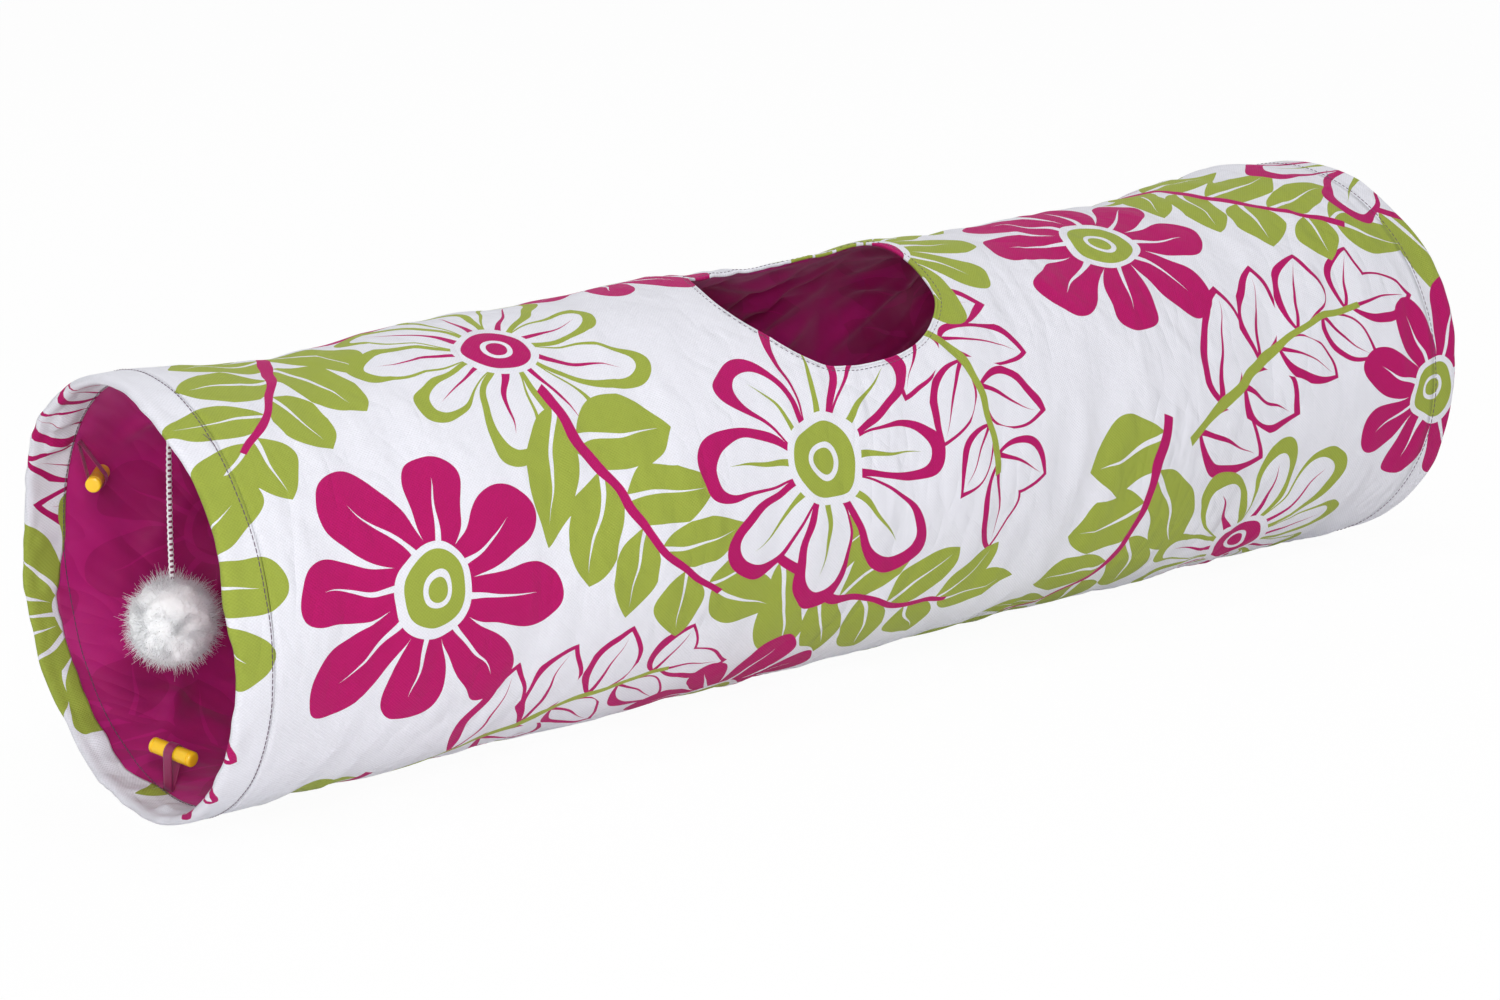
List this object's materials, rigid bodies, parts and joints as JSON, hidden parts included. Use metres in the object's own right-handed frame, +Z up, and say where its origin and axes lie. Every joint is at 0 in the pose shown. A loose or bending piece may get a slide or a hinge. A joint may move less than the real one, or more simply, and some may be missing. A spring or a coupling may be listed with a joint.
{
  "type": "cat tunnel",
  "caption": "Collapsible cloth play tunnel on a spiral spring wire, with hooped ends, a peephole on top, a hanging pompom and toggles that hold it folded flat.",
  "frame": {"origin": "centre of the tunnel's length and width, on the floor it lies on", "axes": "+X along the tunnel from the mouth with the pompom to the far end, +Z up, the viewer's side is -Y"},
  "size_m": [0.93, 0.276, 0.264],
  "materials": {
    "printed_canvas": "matt printed cotton",
    "facing_cloth": "turned edge",
    "lining_cloth": "thin polyester, slight sheen",
    "ribbon_satin": "satin ribbon",
    "string_elastic": "braided elastic",
    "pompom_fluff": "long soft pile",
    "spring_steel": "drawn wire",
    "ferrule_steel": "crimped sleeve",
    "toggle_plastic": "moulded yellow plastic"
  },
  "bodies": {
    "mouth_end": {"mouth_hem": "printed_canvas", "mouth_hoop": "spring_steel", "mouth_hoop_ferrule": "ferrule_steel", "outer_cover": "printed_canvas", "lining": "lining_cloth", "spring_wire": "spring_steel", "peephole_facing": "facing_cloth"},
    "far_end": {"far_hem": "printed_canvas", "far_hoop": "spring_steel", "far_hoop_ferrule": "ferrule_steel"},
    "string_knot": {"string_knot": "string_elastic"},
    "pompom_string": {"pompom_string": "string_elastic"},
    "pompom": {"pompom": "pompom_fluff"},
    "toggle_ribbon_1": {"toggle_ribbon_1": "ribbon_satin"},
    "toggle_ribbon_2": {"toggle_ribbon_2": "ribbon_satin"},
    "toggle_ribbon_3": {"toggle_ribbon_3": "ribbon_satin"},
    "toggle_1": {"toggle_1": "toggle_plastic"},
    "toggle_2": {"toggle_2": "toggle_plastic"},
    "toggle_3": {"toggle_3": "toggle_plastic"},
    "button_loop_1": {"button_loop_1": "ribbon_satin"},
    "button_loop_2": {"button_loop_2": "ribbon_satin"},
    "button_loop_3": {"button_loop_3": "ribbon_satin"}
  },
  "joints": [
    {"name": "collapse", "type": "slide", "parent": "mouth_end", "child": "far_end", "axis": [-1, 0, 0], "range_m": [0, 0.852], "stiffness_N_per_m": 10, "springref_m": -0.05, "deforming": ["outer_cover", "lining", "spring_wire", "peephole_facing"]},
    {"name": "pompom_swing_sideways", "type": "hinge", "parent": "mouth_end", "child": "string_knot", "pos_m": [-0.4345, -0.0038, 0.2431], "axis": [1, 0, 0], "range_deg": [-25, 25]},
    {"name": "pompom_swing_lengthways", "type": "hinge", "parent": "string_knot", "child": "pompom_string", "pos_m": [-0.4345, -0.0038, 0.2431], "axis": [0, 1, 0], "range_deg": [-60, 60]},
    {"name": "string_stretch", "type": "slide", "parent": "pompom_string", "child": "pompom", "axis": [0, 0, -1], "range_m": [0, 0.03], "stiffness_N_per_m": 30, "springref_m": -0.012, "deforming": ["pompom_string"]},
    {"name": "toggle_ribbon_1_flap", "type": "hinge", "parent": "mouth_end", "child": "toggle_ribbon_1", "pos_m": [-0.43844, 0.09933, 0.18816], "axis": [0.6059, 0.7956, -0.0034], "range_deg": [-30, 12], "stiffness_Nm_per_rad": 0.004},
    {"name": "toggle_ribbon_2_flap", "type": "hinge", "parent": "mouth_end", "child": "toggle_ribbon_2", "pos_m": [-0.43875, 0.01251, 0.00639], "axis": [0.3638, -0.9229, -0.126], "range_deg": [-50, 50], "stiffness_Nm_per_rad": 0.004},
    {"name": "toggle_ribbon_3_flap", "type": "hinge", "parent": "mouth_end", "child": "toggle_ribbon_3", "pos_m": [-0.43844, -0.10405, 0.17893], "axis": [0.6059, -0.7956, -0.0034], "range_deg": [-12, 30], "stiffness_Nm_per_rad": 0.004},
    {"name": "toggle_1_spin", "type": "hinge", "parent": "toggle_ribbon_1", "child": "toggle_1", "pos_m": [-0.43165, 0.09408, 0.16823], "axis": [0.6059, 0.7956, -0.0034], "continuous": true},
    {"name": "toggle_2_spin", "type": "hinge", "parent": "toggle_ribbon_2", "child": "toggle_2", "pos_m": [-0.43572, 0.01078, 0.02781], "axis": [0.3638, -0.9229, -0.126], "continuous": true},
    {"name": "toggle_3_spin", "type": "hinge", "parent": "toggle_ribbon_3", "child": "toggle_3", "pos_m": [-0.43165, -0.0988, 0.159], "axis": [0.6059, -0.7956, -0.0034], "continuous": true},
    {"name": "button_loop_1_flap", "type": "hinge", "parent": "far_end", "child": "button_loop_1", "pos_m": [0.439, 0.06621, 0.23967], "axis": [0, 1, 0], "range_deg": [-30, 30], "stiffness_Nm_per_rad": 0.002},
    {"name": "button_loop_2_flap", "type": "hinge", "parent": "far_end", "child": "button_loop_2", "pos_m": [0.439, 0.07219, 0.02767], "axis": [0, 1, 0], "range_deg": [-30, 30], "stiffness_Nm_per_rad": 0.002},
    {"name": "button_loop_3_flap", "type": "hinge", "parent": "far_end", "child": "button_loop_3", "pos_m": [0.439, -0.1317, 0.13421], "axis": [0, 0, 1], "range_deg": [-30, 30], "stiffness_Nm_per_rad": 0.002}
  ]
}
